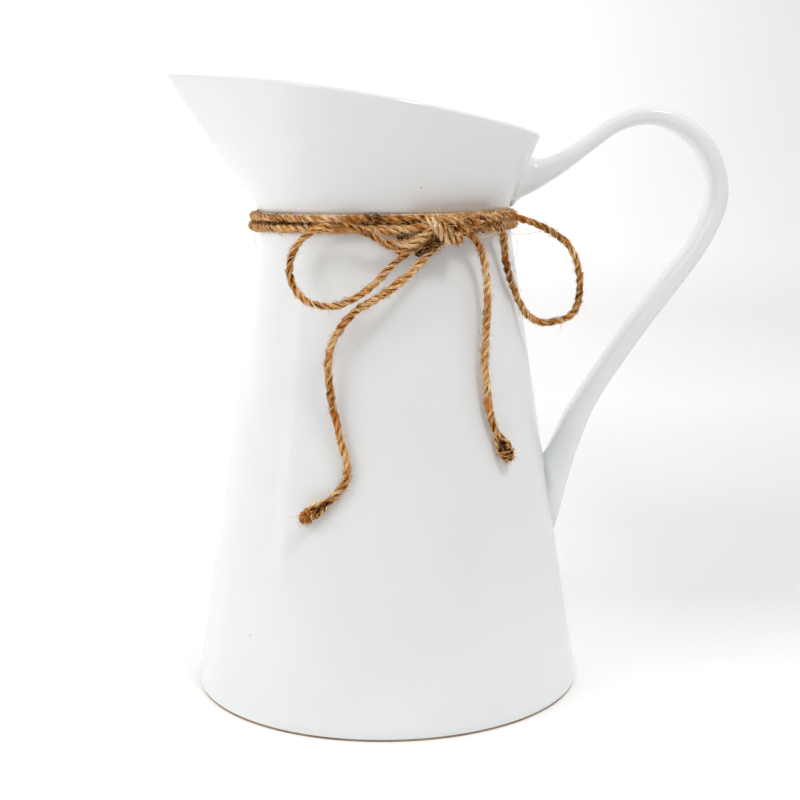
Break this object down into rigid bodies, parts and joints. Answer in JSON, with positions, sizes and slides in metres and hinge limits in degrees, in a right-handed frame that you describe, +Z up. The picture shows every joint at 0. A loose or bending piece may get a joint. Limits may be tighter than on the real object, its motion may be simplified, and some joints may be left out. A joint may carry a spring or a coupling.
{
  "type": "ceramic pitcher",
  "caption": "Tall conical glazed stoneware pitcher with a flared collar drawn into a pointed spout, a looped strap handle and a jute twine bow tied round the neck.",
  "frame": {"origin": "centre of the flat underside, on the axis of the cone, at the height of the table", "axes": "+Z up; +X from the axis towards the handle, so the spout points to -X; -Y towards the side that carries the bow"},
  "size_m": [0.2714, 0.1922, 0.3],
  "materials": {
    "white_glaze": "smooth glossy white glaze with a few iron specks and pinholes",
    "bare_clay": "fired clay left bare, dry and slightly sandy",
    "jute_twine": "three-strand twisted jute, hairy, with pale and orange fibres"
  },
  "bodies": {
    "root": {"body_wall": "white_glaze", "collar": "white_glaze", "handle": "white_glaze", "base_disc": "bare_clay", "twine_turn_upper": "jute_twine", "twine_turn_lower": "jute_twine", "bow_knot": "jute_twine", "bow_loop_left": "jute_twine", "bow_loop_right": "jute_twine", "bow_tail_left": "jute_twine", "bow_tail_right": "jute_twine", "end_knot_left": "jute_twine", "end_knot_right": "jute_twine"}
  },
  "joints": []
}
